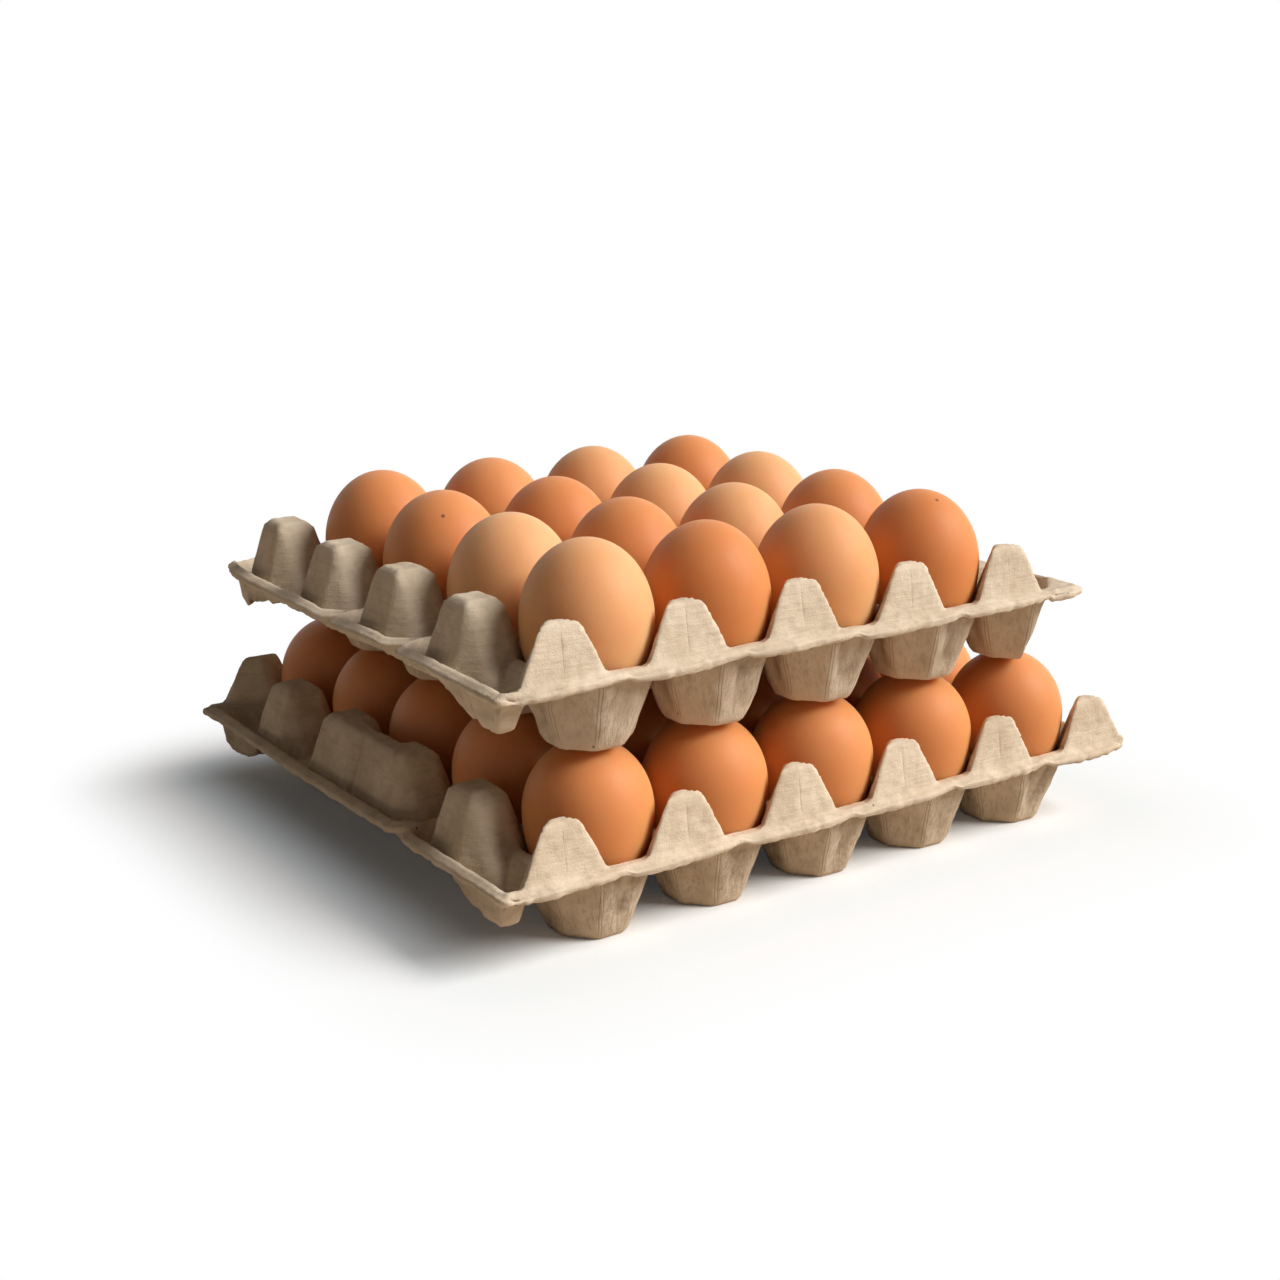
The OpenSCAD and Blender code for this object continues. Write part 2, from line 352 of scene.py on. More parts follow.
def hollowness(points, normals):  # above 0 in a crease, below 0 on an edge
    around = np.zeros_like(points)
    around[1:-1, 1:-1] = (
        points[:-2, 1:-1] + points[2:, 1:-1] + points[1:-1, :-2] + points[1:-1, 2:]
    ) / 4 - points[1:-1, 1:-1]
    return (around * normals).sum(-1)


def makeMesh(name, points, quads, attributes):  # points in millimetres
    mesh = bpy.data.meshes.new(name)
    mesh.vertices.add(len(points))
    mesh.vertices.foreach_set("co", (points * mm).astype(np.float32).ravel())
    mesh.loops.add(quads.size)
    mesh.loops.foreach_set("vertex_index", quads.astype(np.int32).ravel())
    mesh.polygons.add(len(quads))
    mesh.polygons.foreach_set("loop_start", np.arange(0, quads.size, 4, dtype=np.int32))
    mesh.polygons.foreach_set("loop_total", np.full(len(quads), 4, dtype=np.int32))
    mesh.polygons.foreach_set("use_smooth", np.ones(len(quads), dtype=bool))
    mesh.update(calc_edges=True)
    for key, values in attributes.items():
        layer = mesh.attributes.new(key, "FLOAT", "POINT")
        layer.data.foreach_set("value", values.astype(np.float32).ravel())
    piece = bpy.data.objects.new(name, mesh)
    bpy.context.scene.collection.objects.link(piece)
    return piece


# Form of a tray
def shrink(slope):  # sideways move of a wall's underside for each millimetre of drop, at even thickness
    return (np.sqrt(1 + slope * slope) - 1) / slope


def cellOffset(v, n, last):  # distance from the middle of a cell, with a border always at half a pitch
    half = tray["pitch"] / 2
    inner = np.abs(v - (np.clip(np.floor(v / tray["pitch"]), 0, n - 1) + 0.5) * tray["pitch"])
    outer = np.abs(v - n * tray["pitch"] - last / 2) + half - last / 2
    return np.where((v > n * tray["pitch"]) & (last > 0), outer, inner)


def outside(v, n):  # distance past the last post line, or below 0 before the first
    return np.minimum(v, 0) + np.maximum(v - n * tray["pitch"], 0)


def reaches(u, v, spec):  # how far the tray reaches past its post lines on the side of u and v
    endX, endY = spec["ends"]
    reachX = np.where(u <= 0, tray["flange"], endX or tray["farFlange"])
    reachY = np.where((v > 0) & (endY > 0), endY, tray["lip"])
    return reachX, reachY


def notchPart(y, spec):  # 1 in the middle of a notch of the left flange, 0 outside
    total = np.zeros_like(y)
    for cell in spec["notched"]:
        middle = (cell + 0.5) * tray["pitch"]
        total = np.maximum(total, np.clip(1 - np.abs(y - middle) * 2 / tray["notchWidth"], 0, 1))
    return total


def cupPlanes(x, y, spec, drop):  # heights of a cup's two pairs of sides and of its cut corners
    t = tray
    a = cellOffset(x, spec["cells"][0], spec["ends"][0])
    b = cellOffset(y, spec["cells"][1], spec["ends"][1])
    lean = t["cupHalf"] + shrink(t["wallSlope"]) * drop
    cut = cutSlope * ((a + b) / root2 - cupCorner - shrink(cutSlope) * drop)
    return t["wallSlope"] * (a - lean), t["wallSlope"] * (b - lean), cut


def rimHeight(x, y, spec):  # level rim, less the flange's trough and the drop of the lips
    t = tray
    nx, ny = spec["cells"]
    endX, endY = spec["ends"]
    u, v = outside(x, nx), outside(y, ny)
    reachX, reachY = reaches(u, v, spec)
    foot = np.where(u < 0, t["postShift"], 0) + t["postHalf"]
    inner = reachX - t["flangeLip"] - np.abs(u)
    fromEnd = np.minimum(y, ny * t["pitch"] + endY - y)
    deep = t["trough"] + (t["cornerTrough"] - t["trough"]) * np.clip(2 - fromEnd * 2 / t["pitch"], 0, 1)
    sides = np.minimum(np.minimum(np.abs(u) / foot, inner / t["flangeLip"]), fromEnd / t["cornerEase"])
    dip = deep * reachX / t["flange"] * easeIn(sides) * np.where(u < 0, 1 - notchPart(y, spec), 1)
    dip = np.where((u > 0) & (endX > 0), 0, dip)
    # the lip's edge climbs along each cell and steps back at its middle
    part = np.mod(x / t["pitch"] - 0.5, 1)
    climb = (1 - 2 * part) * easeIn(np.minimum(part, 1 - part) * t["pitch"] / t["stepWidth"])
    edge = np.maximum(
        easeIn((np.abs(u) - reachX) / t["flangeLip"] + 1),
        easeIn((np.abs(v) - reachY) / (t["lip"] - t["faceFoot"]) + 1) * (1 + t["lipStep"] * climb),
    )
    return t["rim"] - dip - t["lipDrop"] * edge


def bevelled(fall, ring, width):  # rounds a post's top edge; ring is the distance outside its outline
    t = tray
    return softMax(softMax(fall, t["bevelSlope"] * (ring + width), t["softBevel"]), 0, t["softTop"])


def postHeight(x, y, spec, drop):
    # top less the largest of its falls; the posts of the left flange stand further out
    t = tray
    nx, ny = spec["cells"]
    i = np.clip(np.round(x / t["pitch"]), 0, nx)
    j = np.clip(np.round(y / t["pitch"]), 0, ny)
    onSide = (i == 0) & (j > 0) & ((j < ny) | (spec["ends"][1] > 0))
    shift = np.where(onSide, t["postShift"], 0)
    slopeX = np.where(onSide, t["wallSlope"], t["postSlope"])
    dx, dy = np.abs(x - i * t["pitch"] + shift), np.abs(y - j * t["pitch"])
    outX = dx - t["postHalf"]
    outY = dy - np.where(onSide, t["sideHalf"], t["postHalf"])
    outXY = (dx + dy - shift) / root2 - postCorner
    soft = np.where(onSide, t["softSidePost"], t["softPost"])
    fall = softMax(
        slopeX * (outX + shrink(slopeX) * drop),
        t["postSlope"] * (outY + shrink(t["postSlope"]) * drop),
        soft,
    )
    fall = softMax(fall, cutSlope * (outXY + shrink(cutSlope) * drop), soft)
    ring = softMax(softMax(outX, outY, t["softOutline"]), outXY, t["softOutline"])
    width = np.where(onSide, t["sideBevel"], t["bevel"])
    return t["post"] - drop - bevelled(fall, ring, width) - t["dish"] * easeIn(-ring / t["postHalf"])


def ridgeHeight(x, y, spec, drop):  # ridge that joins two posts, with a shallow valley in the middle
    t = tray
    middle = np.abs(y - (spec["joined"] + 0.5) * t["pitch"])
    thick = t["postHalf"] / 2
    outX = np.abs(x + t["postShift"] + thick) - thick + t["ridgeDepth"] * bell(middle, t["ridgeWidth"])
    outY = middle - t["pitch"] / 2
    fall = softMax(
        t["wallSlope"] * (outX + shrink(t["wallSlope"]) * drop),
        t["postSlope"] * (outY + shrink(t["postSlope"]) * drop),
        t["softPost"],
    )
    ring = softMax(outX, outY, t["softOutline"])
    return t["post"] - drop - bevelled(fall, ring, t["bevel"])


def trayHeight(x, y, spec, drop):
    # cup: largest of floor, sides and cut corners, limited by the rim
    # the tray is the larger of cup and post, and the outer posts are cut by the front and back faces
    t = tray
    ny, endY = spec["cells"][1], spec["ends"][1]
    sideA, sideB, cut = cupPlanes(x, y, spec, drop)
    bowl = softMax(softMax(sideA, sideB, t["softWall"]), cut, t["softWall"])
    bowl = softMin(softMax(bowl, 0, t["softFloor"]), rimHeight(x, y, spec) - t["wall"], t["softRim"])
    cup = t["wall"] - drop + bowl

    post = postHeight(x, y, spec, drop)
    if spec["joined"] is not None:
        post = softMax(post, ridgeHeight(x, y, spec, drop), t["softJoin"])
    outFace = t["faceInset"] - y
    if not endY:
        outFace = np.maximum(outFace, y - ny * t["pitch"] + t["faceInset"])
    fall = bevelled(faceSlope * (outFace + shrink(faceSlope) * drop), outFace, t["faceBevel"])
    post = softMin(post, t["post"] - drop - fall, t["softFace"])

    fromBack = np.full_like(y, t["pitch"]) if endY else ny * t["pitch"] - y
    nearEdge = easeIn(1 - np.minimum(np.minimum(x, y), fromBack) / t["footReach"])
    return softMax(cup, post, t["softInnerFoot"] + (t["softFoot"] - t["softInnerFoot"]) * nearEdge)


def trayPlan(x, y, spec):  # plan position of a grid point: lips and flange notched, corners rounded
    t = tray
    nx, ny = spec["cells"]
    u, v = outside(x, nx), outside(y, ny)
    reachX, reachY = reaches(u, v, spec)
    roundU = u * np.sqrt(1 - t["cornerRound"] * (v / reachY) ** 2 / 2)
    roundV = v * np.sqrt(1 - t["cornerRound"] * (u / reachX) ** 2 / 2)
    cutU = np.where(u < 0, u * notchPart(y, spec) * t["flangeNotch"] / t["flange"], 0)
    waist = t["scallop"] * (2 * np.abs(x / t["pitch"] - np.round(x / t["pitch"]))) ** 2
    cutV = np.where((v > 0) & (spec["ends"][1] > 0), 0, np.sign(v) * waist * (v / reachY) ** 4)
    return x - u + roundU - cutU, y - v + roundV - cutV


def trayLines(n, last, near, far):  # grid lines, close together round the posts and at the edges
    half = tray["pitch"] / 2
    # distances from a post's middle, closest at the edge of its top
    shoulder = [1.4, 2.8, 4.2, 5.4, 6.2, 6.8, 7.4, 8.3, 9.4, 10.6, 11.9, 13.3]
    step = np.concatenate([[0, 0.4], shoulder, np.linspace(15.3, half, 5)])
    cell = np.concatenate([step, tray["pitch"] - step[-2:0:-1]])
    lines = [k * tray["pitch"] + cell for k in range(n)]
    if last:
        lines.append(n * tray["pitch"] + np.linspace(0, last, int(last / tray["endStep"])))
    else:
        lines.append(n * tray["pitch"] + far)
    return np.concatenate([-near[:0:-1], *lines])


# Dents in a cup's outer walls
dent = dict(
    depth=1.6,
    shade=0.45,  # painted shade in a dent: how much darker the pulp is there, on the scale of a crease
    cupsInRow=6,
    wander=2.0,  # how far a groove moves along its wall from cup to cup
    shares=(0.4, 1.0),  # part of the depth that a cup gets
    sideFade=5.0,
    footFade=(0.1, 0.3),  # share of the rim's height where the grooves start, and over which they grow
    rimFade=0.12,
    grooves=(  # place along the wall, slant, level at that place, width and depth
        (-1.5, 6.0, 0.6, 1.8, 1.0),
        (1.0, -7.0, 0.5, 1.6, 0.8),
    ),
)


def cupDents(x, y, z, spec):
    # two slanting grooves that meet in a V on each cup's outer walls
    t, d = tray, dent
    rng = np.random.default_rng(spec["seed"] + 31)
    lift = np.clip(z / t["rim"], 0, 1)
    a = x - (np.floor(x / t["pitch"]) + 0.5) * t["pitch"]
    b = y - (np.floor(y / t["pitch"]) + 0.5) * t["pitch"]
    total = np.zeros_like(x)
    for along, out, cell in ((a, b, x), (b, a, y)):
        order = np.clip(np.floor(cell / t["pitch"]).astype(int), 0, d["cupsInRow"] - 1)
        shifts = [rng.uniform(-d["wander"], d["wander"], d["cupsInRow"]) for groove in d["grooves"]]
        deep = rng.uniform(*d["shares"], d["cupsInRow"])
        facing = easeIn((np.abs(out) - np.abs(along)) / d["sideFade"])
        grooves = sum(
            share * bell(along - place - shift[order] + slant * (lift - level), width)
            for (place, slant, level, width, share), shift in zip(d["grooves"], shifts)
        )
        total += facing * deep[order] * grooves
    start, grow = d["footFade"]
    return total * easeIn((lift - start) / grow) * easeIn((1 - lift) / d["rimFade"])


def frontFace(y, z):  # 1 on the outer face of the front posts
    t = tray
    high = easeIn((z - t["rim"] - 1.0) / 2) * easeIn((t["post"] - 2.5 - z) / 1.5)
    return high * (y < t["faceInset"] + 1)


def trayMarks(x, y, z, spec, side):
    # fold: distance from a fold, which has a line drawn on either side; crease: how strongly the lines show
    # wall: 1 on a cup's outer walls; the last mark is darker pulp in mottled patches and partly painted
    # shade, low in the tray on the upper side and, on the underside, most on the upright walls near the rim
    t = tray
    place = np.stack([x, y, z], -1)
    patches = easeIn(0.5 + 0.45 * ripple(place, t["patchSize"], spec["seed"] + 41, t["patchStretch"]))
    if side == 0:
        fold = t["foldGap"] + np.abs(x - np.round(x / t["pitch"]) * t["pitch"])
        low = easeIn((t["rim"] + 6 - z) / 12)
        crease = t["postCrease"] * frontFace(y, z)
        # painted shade in mottled patches, low in the tray on the upper side
        return dict(fold=fold, crease=crease, wall=0 * z, stainAndShade=0.25 * low * patches)
    sideA, sideB, cut = cupPlanes(x, y, spec, t["wall"])
    fold = (cut - np.maximum(sideA, sideB)) * root2 / cutSlope
    wall = easeIn((rimHeight(x, y, spec) - t["wall"] - 1 - z) / 2)
    upright = easeIn((np.maximum(sideA, sideB) - cut) / 6)
    # partly painted shade: darker towards the rim and on the upright walls, lighter on the cut corners
    stainAndShade = (0.3 + 0.7 * z / t["rim"]) * (0.25 + 0.75 * upright) * patches
    return dict(fold=fold, crease=wall * easeIn(z / 4), wall=wall, stainAndShade=stainAndShade * wall)


def edgeLoop(rows, cols):  # indices of a grid's border, anticlockwise from the first point
    index = np.arange(rows * cols).reshape(rows, cols)
    return np.concatenate([index[0, :-1], index[:-1, -1], index[-1, :0:-1], index[:0:-1, 0]])


def rolledEdge(top, under, seed):
    # half circle from the upper to the under border, with a split line along its middle
    t = tray
    tangent = np.roll(top, -1, 0) - np.roll(top, 1, 0)
    outward = np.stack([tangent[:, 1], -tangent[:, 0], 0 * tangent[:, 0]], -1)
    outward /= np.linalg.norm(outward, axis=1, keepdims=True)
    middle, reach = (top + under) / 2, (top - under) / 2
    size = np.linalg.norm(reach, axis=1, keepdims=True)
    layered = easeIn(0.2 + 0.6 * ripple(middle, t["splitSize"], seed))[:, None]
    turns = np.radians([30, 60, 90, 120, 150])
    depths = [0, 0, t["splitDepth"], 0, 0]
    return [
        middle + reach * math.cos(turn) + outward * size * t["edgeBulge"] * (math.sin(turn) - deep * layered)
        for turn, deep in zip(turns, depths)
    ]


def makeTray(name, node, spec):
    # upper and under side are height fields over one grid, moved along their normals by the relief,
    # warped together and joined round the border by the rolled edge
    t = tray
    nx, ny = spec["cells"]
    flangeSteps = np.linspace(0, t["flange"], t["flangeLines"])
    farSteps = np.linspace(0, t["farFlange"], t["farLines"])
    lipSteps = np.linspace(0, t["lip"], t["lipLines"])
    faceSteps = np.linspace(0.2, t["faceInset"] + 0.6, t["faceLines"])
    xs = trayLines(nx, spec["ends"][0], flangeSteps, farSteps)
    ys = trayLines(ny, spec["ends"][1], lipSteps, lipSteps)
    backSteps = [] if spec["ends"][1] else [ny * t["pitch"] - faceSteps]
    ys = np.unique(np.concatenate([ys, faceSteps] + backSteps).round(2))
    x, y = np.meshgrid(xs, ys)
    planX, planY = trayPlan(x, y, spec)
    faces = [np.stack([planX, planY, trayHeight(x, y, spec, drop)], -1) for drop in (0, t["wall"])]

    # nearness to the edges, for the thicker and rougher rim
    nearX = easeIn(1 - np.minimum(x - xs[0], xs[-1] - x) / t["rimBand"])
    nearY = easeIn(1 - np.minimum(y - ys[0], ys[-1] - y) / t["rimBand"])
    rimNear = np.maximum(nearX, nearY)
    away = np.stack([np.sign(x - xs.mean()) * nearX, np.sign(y - ys.mean()) * nearY], -1)

    seed = spec["seed"]
    place = np.stack([x, y, faces[0][..., 2]], -1)
    sway = np.stack([ripple(place, t["warpSize"], seed + k) for k in range(3)], -1) * t["warp"]
    sway[..., 2] *= easeIn(faces[0][..., 2] / t["warpRise"])
    coarse, fine = (ripple(place, size, seed + 21 + k) for k, size in enumerate(t["edgeSizes"]))
    rough = t["edgeRough"] * (coarse + 0.5 * fine) - t["rimSwell"]
    marks = []
    for side, points in enumerate(faces):
        normals = gridNormals(points) * (1 if side == 0 else -1)
        mark = trayMarks(x, y, points[..., 2], spec, side)
        mark["hollow"] = hollowness(points, normals)
        coarse, fine = (
            ripple(points, size, seed + 11 + 2 * k + side) for k, size in enumerate(t["grainSizes"])
        )
        bump = t["grain"] * (coarse + fine)
        if side == 1:
            bump += t["streak"] * ripple(points, t["streakSize"], seed + 15, t["streakStretch"])
            dents = cupDents(x, y, points[..., 2], spec)
            bump -= dent["depth"] * dents
            # painted shade in the dents, through the hollow mark that darkens creases
            mark["hollow"] = mark["hollow"] + dent["shade"] * dents
            low = easeIn((t["crumpleTop"] - points[..., 2]) / t["crumpleFade"])
            folds = np.abs(ripple(points, t["crumpleSize"], seed + 17, t["crumpleStretch"]))
            bump -= t["crumple"] * low * folds
            bump *= easeIn(points[..., 2] / t["footCalm"])
        else:
            seam = bell(x - np.round(x / t["pitch"]) * t["pitch"], t["seamWidth"])
            bump -= t["seamDepth"] * (seam * frontFace(y, points[..., 2]))
        points += normals * (bump + t["rimSwell"] * rimNear)[..., None]
        points += sway
        points[..., :2] += away * rough[..., None]
        points[..., 2] = np.maximum(points[..., 2], 0)
        marks.append(mark)

    rows, cols = x.shape
    loop = edgeLoop(rows, cols)
    flat = [points.reshape(-1, 3) for points in faces]
    rolls = rolledEdge(flat[0][loop], flat[1][loop], seed + 51)
    sheet, ring = rows * cols, len(loop)
    bands = [loop, *(2 * sheet + k * ring + np.arange(ring) for k in range(len(rolls))), sheet + loop]
    index = np.arange(sheet).reshape(rows, cols)
    quad = np.stack([index[:-1, :-1], index[:-1, 1:], index[1:, 1:], index[1:, :-1]], -1).reshape(-1, 4)
    strips = [
        np.stack([upper, lower, np.roll(lower, -1), np.roll(upper, -1)], -1)
        for upper, lower in zip(bands[:-1], bands[1:])
    ]
    points = np.concatenate([*flat, *rolls]) + firstPost(node)
    quads = np.concatenate([quad, quad[:, ::-1] + sheet, *strips])
    edgeMarks = dict(fold=9.0, crease=0.0, wall=0.0, stainAndShade=0.05, hollow=-0.2)
    attributes = {
        key: np.concatenate([*(mark[key].ravel() for mark in marks), np.full(len(rolls) * ring, value)])
        for key, value in edgeMarks.items()
    }
    piece = makeMesh(name, points, quads, attributes)
    piece.data.materials.append(spec["paint"])
    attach(piece, "root")
    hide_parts(node)
    print(name, len(quads) * 2, "triangles")


# Moulded pulp: warm grey, mottled, with fibres, specks and paler edges, and painted shade in creases, dents
# and on the cup walls
pulp = dict(
    pale=(0.74, 0.625, 0.485, 1),
    mid=(0.61, 0.495, 0.365, 1),
    dark=(0.32, 0.235, 0.155, 1),
    speck=(0.09, 0.06, 0.035, 1),
    grey=(0.68, 0.60, 0.50, 1),
    cloud=(60, (1, 1, 1), 4.0),  # noises: scale, stretch, detail and roughness
    blotch=(260, (1, 1, 1), 4.0, 0.65),
    fibre=(800, (1, 1, 0.14), 2.0),  # upright threads on the cup walls
    screen=(900, (0.09, 0.09, 1), 2.0),  # level marks of the mould's screen
    lint=(1500, (0.25, 1, 1), 2.0),
    fine=(2600, (1, 1, 1), 2.0),
    cloudBand=(0.35, 0.65),
    blotchTint=(0.45, 0.70, 0.22),  # tints: where it starts, where it is full, and its share there
    # the next tint is mottled stain with painted shade, led by the trays' marks
    stainAndShadeTint=(0.30, 0.62, 0.9),
    fibreTint=(0.48, 0.72, 0.42),
    screenTint=(0.50, 0.75, 0.22),
    lintTint=(0.58, 0.76, 0.35),
    # painted shade in creases and dents
    creaseShadeTint=(0.05, 0.45, 0.40),
    edgeTint=(0.04, 0.35, 0.5),
    lineWander=0.7,  # how far a drawn line strays from its fold, in millimetres
    wanderScale=220,
    lineBand=(0.08, 0.32),  # half widths of the line's dark core and of its fade
    lineShare=0.55,
    fleckScale=170.0,
    fleckRadius=0.08,
    fleckPatch=140,
    fleckBand=(0.60, 0.66),
    fleckShare=0.75,
    relief=dict(fine=0.4, lint=0.3, fibre=0.8, blotch=0.9, line=-0.5, screen=0.6),
    grainBump=0.4,
    grainDepth=0.0012,
    roughness=0.92,
    specular=0.2,
)


def makePulp(name, p, greyer, wallTone):
    paint = bpy.data.materials.new(name)
    tree = freshTree(paint)
    where = addNode(tree, "ShaderNodeTexCoord").outputs["Object"]
    keys = ("wall", "hollow", "stainAndShade", "fold", "crease")
    wall, hollow, stainAndShade, fold, crease = (attributeOf(tree, key) for key in keys)
    openPart = mathOf(tree, "SUBTRACT", 1.0, wall)
    layers = ("cloud", "blotch", "fibre", "screen", "lint", "fine")
    cloud, blotch, fibre, screen, lint, fine = (noiseOf(tree, where, *p[key]) for key in layers)

    def tinted(colour, amount, key, other, weight=None, tone=1.0):
        # mixes in another colour where amount is high, less where weight is low
        low, high, share = p[key]
        if weight is not None:
            share = mathOf(tree, "MULTIPLY", weight, share * tone)
        factor = mathOf(tree, "MULTIPLY", softStep(tree, amount, low, high), share)
        return blendColour(tree, factor, colour, other)

    colour = blendColour(tree, softStep(tree, cloud, *p["cloudBand"]), p["mid"], p["pale"])
    colour = blendColour(tree, greyer, colour, p["grey"])
    colour = tinted(colour, blotch, "blotchTint", p["dark"])
    # mottled stain and painted shade on the cup walls
    colour = tinted(colour, blotch, "stainAndShadeTint", p["dark"], stainAndShade, wallTone)
    colour = tinted(colour, fibre, "fibreTint", p["dark"], wall, wallTone)
    colour = tinted(colour, screen, "screenTint", p["dark"], openPart)
    colour = tinted(colour, lint, "lintTint", p["pale"])
    # painted shade in creases and dents
    colour = tinted(colour, hollow, "creaseShadeTint", p["dark"])
    colour = tinted(colour, mathOf(tree, "MULTIPLY", hollow, -1.0), "edgeTint", p["pale"])

    # fine lines beside the folds of a cup and down the front posts
    wander = mathOf(tree, "SUBTRACT", noiseOf(tree, where, p["wanderScale"]), 0.5)
    wander = mathOf(tree, "MULTIPLY", wander, p["lineWander"])
    off = mathOf(tree, "ABSOLUTE", mathOf(tree, "ADD", fold, wander))
    off = mathOf(tree, "ABSOLUTE", mathOf(tree, "SUBTRACT", off, tray["foldGap"]))
    line = mathOf(tree, "SUBTRACT", 1.0, softStep(tree, off, *p["lineBand"]))
    line = mathOf(tree, "MULTIPLY", line, crease)
    colour = blendColour(tree, mathOf(tree, "MULTIPLY", line, p["lineShare"]), colour, p["dark"])

    # dark flecks, in patches
    inputs = {"Vector": where, "Scale": p["fleckScale"]}
    spots = addNode(tree, "ShaderNodeTexVoronoi", inputs).outputs["Distance"]
    rare = softStep(tree, noiseOf(tree, where, p["fleckPatch"]), *p["fleckBand"])
    fleck = mathOf(tree, "MULTIPLY", mathOf(tree, "LESS_THAN", spots, p["fleckRadius"]), rare)
    colour = blendColour(tree, mathOf(tree, "MULTIPLY", fleck, p["fleckShare"]), colour, p["speck"])

    parts = dict(
        lint=lint,
        fibre=mathOf(tree, "MULTIPLY", fibre, wall),
        blotch=blotch,
        line=line,
        screen=mathOf(tree, "MULTIPLY", screen, openPart),
    )
    height = mathOf(tree, "MULTIPLY", fine, p["relief"]["fine"])
    for key, part in parts.items():
        height = mathOf(tree, "ADD", height, mathOf(tree, "MULTIPLY", part, p["relief"][key]))
    inputs = {"Height": height, "Strength": p["grainBump"], "Distance": p["grainDepth"]}
    bump = addNode(tree, "ShaderNodeBump", inputs)
    inputs = {"Base Color": colour, "Roughness": p["roughness"], "Normal": bump.outputs[0]}
    shader = addNode(tree, "ShaderNodeBsdfPrincipled", inputs)
    shader.inputs["Specular IOR Level"].default_value = p["specular"]
    addNode(tree, "ShaderNodeOutputMaterial", {"Surface": shader.outputs[0]})
    return paint


# What differs from tray to tray: cells with an egg, widths of the narrow empty cells at the far ends,
# the cell of the left flange whose two posts are joined, and the cells where that flange is notched
lowerSpec = dict(
    cells=(5, 5),
    ends=(0, 0),
    joined=2,
    notched=(1,),
    seed=100,
    paint=makePulp("pulpWarm", pulp, greyer=0.05, wallTone=1.05),
)
upperSpec = dict(
    cells=(4, 4),
    ends=(36.0, 30.0),
    joined=None,
    notched=(1, 2),
    seed=200,
    paint=makePulp("pulpGrey", pulp, greyer=0.20, wallTone=0.65),
)
makeTray("lowerTrayPulp", "lower_tray", lowerSpec)
makeTray("upperTrayPulp", "upper_tray", upperSpec)
print("trays ready")


# Eggs
egg = dict(
    foot=34.0,  # height below the widest point, in millimetres
    rows=48,
    sides=64,
    light=(0.81, 0.455, 0.225, 1),
    brown=(0.71, 0.305, 0.118, 1),
    red=(0.67, 0.25, 0.085, 1),
    speck=(0.10, 0.04, 0.02, 1),
    speckRadius=0.55,
    speckFade=1.6,  # radius at which a speck has faded out, against its dark core
    speckShare=0.8,
    tintSpread=0.5,
    bloomScale=55,  # cloudy change of tone over the shell
    bloomBand=(0.35, 0.7),
    bloomShare=0.2,
    freckleScale=700,
    freckleBand=(0.60, 0.72),
    freckleShare=0.12,
    poreScale=1500,
    poreBump=0.12,
    poreDepth=0.0004,
    roughness=0.5,
    specular=0.16,
    glow=0.8,  # share of the light that enters the shell and comes out again
    glowRadius=(1.0, 0.30, 0.10),
    glowScale=0.010,
    specks={"upper_egg_1_3": (443, 516), "upper_egg_4_1": (937, 500)},  # pixels of the photograph
)


def eggForm(node):  # middle at the widest height, radius and height above it, in millimetres
    low, high = (np.array(c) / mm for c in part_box(node))
    middle = np.array([(low[0] + high[0]) / 2, (low[1] + high[1]) / 2, low[2] + egg["foot"]])
    return middle, (high[0] - low[0]) / 2, high[2] - low[2] - egg["foot"]


def seenPoint(node, pixel):  # where the line of sight through a pixel first meets the egg's upper half
    middle, radius, crown = eggForm(node)
    turn, tilt = math.radians(view["azimuth"]), math.radians(view["elevation"])
    right = np.array([math.cos(turn), math.sin(turn), 0])
    back = np.array([math.sin(turn) * math.cos(tilt), -math.cos(turn) * math.cos(tilt), math.sin(tilt)])
    focus = view["lens"] / view["sensor"] * view["imageSize"]
    half = view["imageSize"] / 2
    sight = right * (pixel[0] - half) - np.cross(back, right) * (pixel[1] - half) - back * focus
    scale = np.array([radius, radius, crown])
    start, step = (cameraPlace - middle) / scale, sight / scale
    a, b, c = step @ step, start @ step, start @ start - 1
    return cameraPlace + sight * (-b - math.sqrt(max(b * b - a * c, 0))) / a


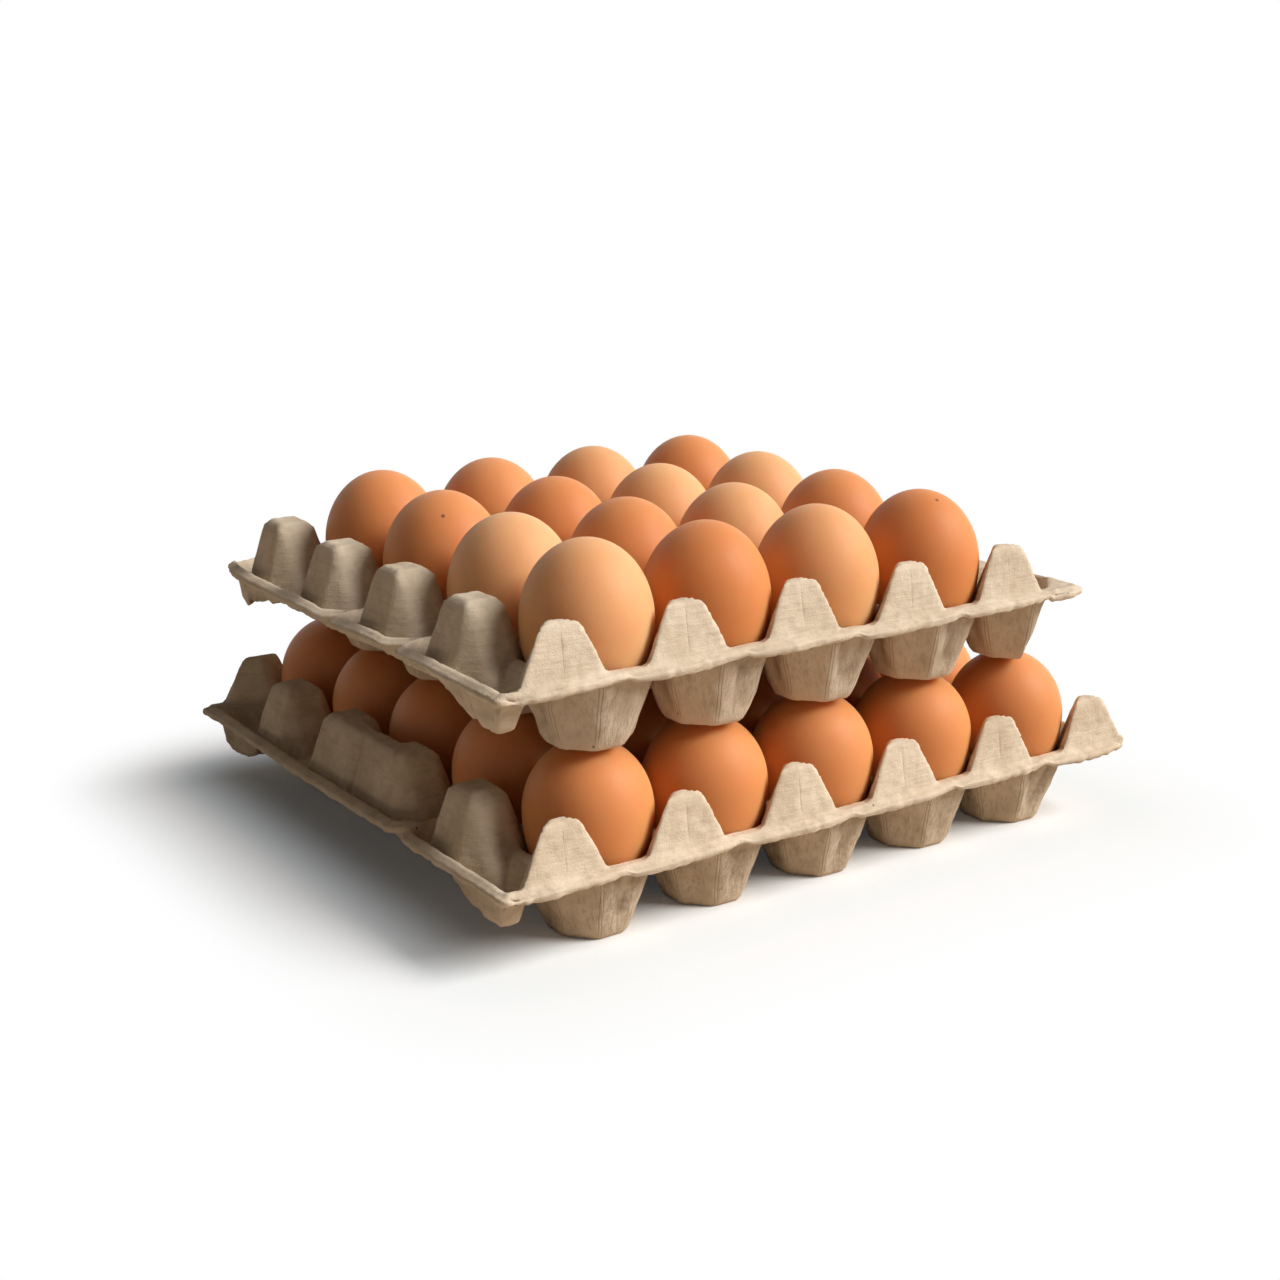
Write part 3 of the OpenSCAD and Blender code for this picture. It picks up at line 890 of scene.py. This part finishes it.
def makeShell(name, colour, deeper, speckAt=None):
    paint = bpy.data.materials.new(name)
    tree = freshTree(paint)
    where = addNode(tree, "ShaderNodeTexCoord").outputs["Object"]
    mixed = blendColour(tree, attributeOf(tree, "tint"), colour, deeper)
    bloom = softStep(tree, noiseOf(tree, where, egg["bloomScale"]), *egg["bloomBand"])
    mixed = blendColour(tree, mathOf(tree, "MULTIPLY", bloom, egg["bloomShare"]), mixed, deeper)
    freckle = softStep(tree, noiseOf(tree, where, egg["freckleScale"]), *egg["freckleBand"])
    mixed = blendColour(tree, mathOf(tree, "MULTIPLY", freckle, egg["freckleShare"]), mixed, deeper)
    if speckAt is not None:
        inputs = {0: where, 1: tuple(speckAt * mm)}
        gap = addNode(tree, "ShaderNodeVectorMath", inputs, operation="DISTANCE").outputs["Value"]
        radius = egg["speckRadius"]
        away = softStep(tree, gap, radius * mm, radius * egg["speckFade"] * mm)
        dark = mathOf(tree, "MULTIPLY", mathOf(tree, "SUBTRACT", 1.0, away), egg["speckShare"])
        mixed = blendColour(tree, dark, mixed, egg["speck"])
    pores = noiseOf(tree, where, egg["poreScale"], detail=2.0)
    inputs = {"Height": pores, "Strength": egg["poreBump"], "Distance": egg["poreDepth"]}
    bump = addNode(tree, "ShaderNodeBump", inputs)
    shader = addNode(tree, "ShaderNodeBsdfPrincipled", {"Base Color": mixed, "Normal": bump.outputs[0]})
    shader.inputs["Roughness"].default_value = egg["roughness"]
    shader.inputs["Specular IOR Level"].default_value = egg["specular"]
    shader.inputs["Subsurface Weight"].default_value = egg["glow"]
    shader.inputs["Subsurface Radius"].default_value = egg["glowRadius"]
    shader.inputs["Subsurface Scale"].default_value = egg["glowScale"]
    addNode(tree, "ShaderNodeOutputMaterial", {"Surface": shader.outputs[0]})
    return paint


def makeEgg(node, paint, seed):
    # half ellipses above and below the widest point, turned round the upright axis
    middle, radius, crown = eggForm(node)
    rows, sides = egg["rows"], egg["sides"]
    lean = np.linspace(-np.pi / 2, np.pi / 2, rows + 1)[1:-1, None]
    turn = np.linspace(0, 2 * np.pi, sides, endpoint=False)[None, :]
    ring = radius * np.cos(lean)
    height = np.where(lean < 0, egg["foot"], crown) * np.sin(lean)
    body = np.stack([ring * np.cos(turn), ring * np.sin(turn), height + 0 * turn], -1).reshape(-1, 3)
    poles = np.array([[0, 0, -egg["foot"]], [0, 0, crown]])
    points = np.concatenate([body, poles]) + middle
    index = np.arange((rows - 1) * sides).reshape(rows - 1, sides)
    ahead = np.roll(index, -1, 1)
    side = np.stack([index[:-1], ahead[:-1], ahead[1:], index[1:]], -1).reshape(-1, 4)
    base = np.full(sides, len(body))
    faces = side.tolist()
    faces += np.stack([ahead[0], index[0], base], -1).tolist()
    faces += np.stack([index[-1], ahead[-1], base + 1], -1).tolist()
    tint = np.full(len(points), np.random.default_rng(seed).uniform(0, egg["tintSpread"]))
    mesh = bpy.data.meshes.new(node + "Shell")
    mesh.from_pydata((points * mm).tolist(), [], faces)
    mesh.polygons.foreach_set("use_smooth", np.ones(len(faces), dtype=bool))
    layer = mesh.attributes.new("tint", "FLOAT", "POINT")
    layer.data.foreach_set("value", tint.astype(np.float32))
    mesh.materials.append(paint)
    piece = bpy.data.objects.new(node + "Shell", mesh)
    bpy.context.scene.collection.objects.link(piece)
    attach(piece, "root")
    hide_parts(node)


tones = {  # name, colour and deeper colour for each slot of the record
    "egg_light": ("shellLight", egg["light"], egg["brown"]),
    "egg_brown": ("shellBrown", egg["brown"], egg["red"]),
    "egg_red": ("shellRed", egg["red"], egg["brown"]),
}
shells = {slot: makeShell(*tone) for slot, tone in tones.items()}
slotOf = {part["node"]: part["material_slot"] for part in frame["record"]["subparts"]}
eggNodes = sorted(n for n in frame["nodes"] if "_egg_" in n)
for order, node in enumerate(eggNodes):
    slot = slotOf[node]
    paint = shells[slot]
    if node in egg["specks"]:
        name, *colours = tones[slot]
        paint = makeShell(name + "Speck", *colours, seenPoint(node, egg["specks"][node]))
    makeEgg(node, paint, 300 + order)
print("eggs ready:", len(eggNodes))
